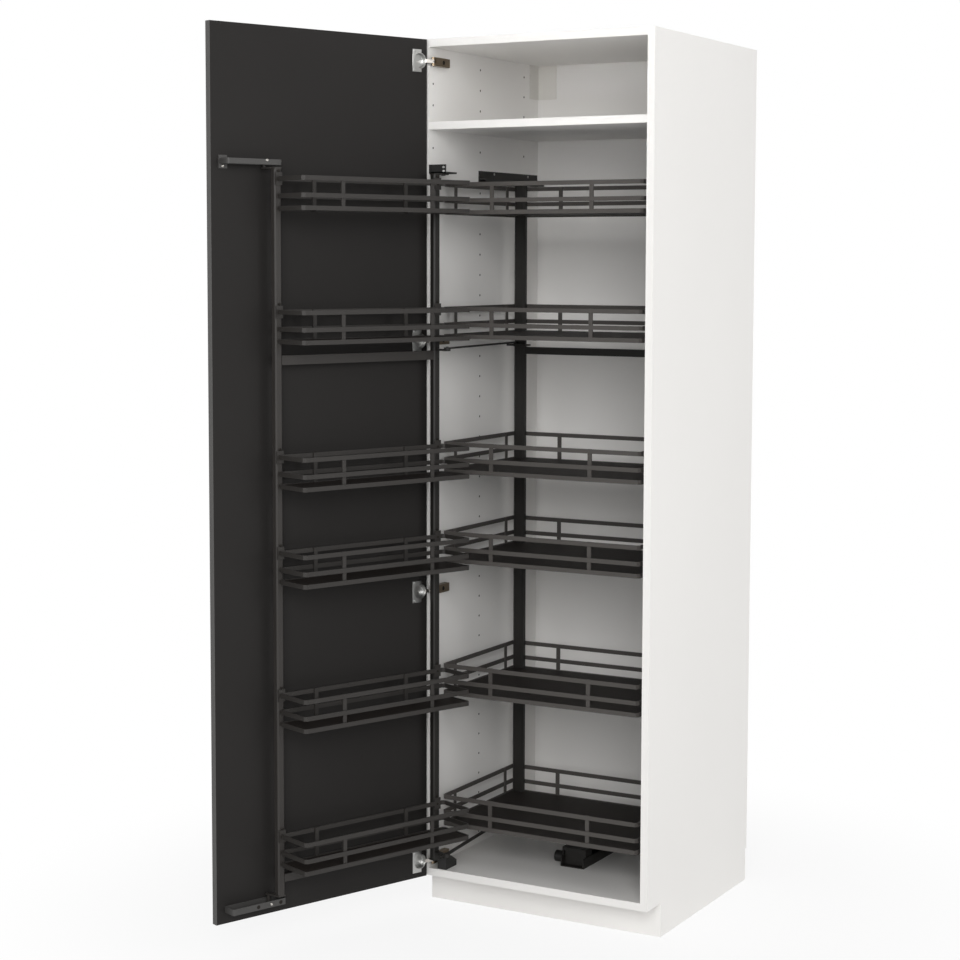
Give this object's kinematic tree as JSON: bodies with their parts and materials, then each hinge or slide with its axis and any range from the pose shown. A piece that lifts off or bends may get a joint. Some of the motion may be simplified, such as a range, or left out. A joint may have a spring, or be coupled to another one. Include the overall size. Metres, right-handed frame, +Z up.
{
  "type": "tall larder cabinet",
  "caption": "Tall kitchen larder cabinet on a plinth: dark side-hung door, door-following rack of baskets and a linked rear rack that slides forward.",
  "frame": {"origin": "on the floor under the plinth's front board, midway across the carcase and midway through the board", "axes": "+Z up, +Y into the cabinet towards the wall, +X to the right seen from the front"},
  "size_m": [0.8083, 1.1677, 2.08],
  "materials": {
    "carcase_board": "white melamine foil, smooth satin",
    "back_board": "white painted fibreboard",
    "cover_plastic": "white moulded",
    "door_board": "anthracite foil, matt",
    "plinth_board": "white melamine foil, smooth satin",
    "leg_plastic": "black moulded",
    "zinc_steel": "zinc plated",
    "bronze_steel": "bronze nickel plated",
    "link_steel": "nickel plated",
    "rail_steel": "anthracite powder coat",
    "tray_plastic": "dark textured mat",
    "post_steel": "black-brown powder coat",
    "guide_plastic": "dark grey moulded",
    "roller_plastic": "black moulded"
  },
  "bodies": {
    "carcase": {"side_left": "carcase_board", "side_right": "carcase_board", "top_panel": "carcase_board", "bottom_panel": "carcase_board", "back_panel": "back_board", "fixed_shelf": "carcase_board", "legs": "leg_plastic", "plinth_front": "plinth_board", "plinth_side": "plinth_board", "plinth_clips": "leg_plastic", "suspension_brackets": "zinc_steel", "suspension_covers": "cover_plastic", "hinge_plates": "zinc_steel", "hinge_arms": "bronze_steel", "pivot_block": "guide_plastic", "pivot_bracket": "guide_plastic", "top_slide_bracket": "post_steel", "top_slide_channel": "guide_plastic", "bottom_runner": "post_steel"},
    "door": {"door_panel": "door_board", "hinge_cups": "zinc_steel", "bottom_guide_rail": "guide_plastic", "top_guide_rail": "guide_plastic"},
    "door_rack": {"inner_post": "post_steel", "outer_post": "post_steel", "rack_crossbars": "post_steel", "pivot_arms": "post_steel", "guide_plates": "post_steel", "crank_lugs": "post_steel", "door_basket_1": "rail_steel", "door_basket_2": "rail_steel", "door_basket_3": "rail_steel", "door_basket_4": "rail_steel", "door_basket_5": "rail_steel", "door_basket_6": "rail_steel", "door_trays": "tray_plastic"},
    "rear_rack": {"rear_post_left": "post_steel", "rear_post_right": "post_steel", "rear_crossbars": "post_steel", "top_carriage": "post_steel", "bottom_carriage": "post_steel", "link_plates": "post_steel", "rear_basket_1": "rail_steel", "rear_basket_2": "rail_steel", "rear_basket_3": "rail_steel", "rear_basket_4": "rail_steel", "rear_basket_5": "rail_steel", "rear_basket_6": "rail_steel", "rear_trays": "tray_plastic"},
    "carriage_roller": {"carriage_roller": "roller_plastic"},
    "link_rods": {"link_rods": "post_steel"},
    "hinge_links": {"hinge_links": "link_steel"}
  },
  "joints": [
    {"name": "door_hinge", "type": "hinge", "parent": "carcase", "child": "door", "pos_m": [-0.292, -0.0955, 1.08], "axis": [0, 0, 1], "range_deg": [0, 110.9]},
    {"name": "rack_swing", "type": "hinge", "parent": "carcase", "child": "door_rack", "pos_m": [-0.25057, -0.06697, 0.128], "axis": [0, 0, 1], "range_deg": [0, 110.9]},
    {"name": "rear_slide", "type": "slide", "parent": "carcase", "child": "rear_rack", "axis": [0, 1, 0], "range_m": [0, 0.12]},
    {"name": "link_swing", "type": "hinge", "parent": "door_rack", "child": "link_rods", "pos_m": [-0.20569, -0.12442, 1.342], "axis": [0, 0, 1], "range_deg": [-110.9, 0]},
    {"name": "hinge_link_swing", "type": "hinge", "parent": "carcase", "child": "hinge_links", "pos_m": [-0.27, -0.081, 1.374], "axis": [0, 0, 1], "range_deg": [-31, 0]},
    {"name": "roller_spin", "type": "hinge", "parent": "rear_rack", "child": "carriage_roller", "pos_m": [-0.016, 0.122, 0.112], "axis": [-1, 0, 0], "range_deg": [0, 502]}
  ],
  "couplings": [
    {"joint": "rack_swing", "follows": "door_hinge", "ratio": 1},
    {"joint": "rear_slide", "follows": "door_hinge", "m_per_rad": 0.06199},
    {"joint": "link_swing", "follows": "door_hinge", "ratio": -1},
    {"joint": "hinge_link_swing", "follows": "door_hinge", "ratio": -0.2795},
    {"joint": "roller_spin", "follows": "door_hinge", "ratio": 4.5248}
  ]
}
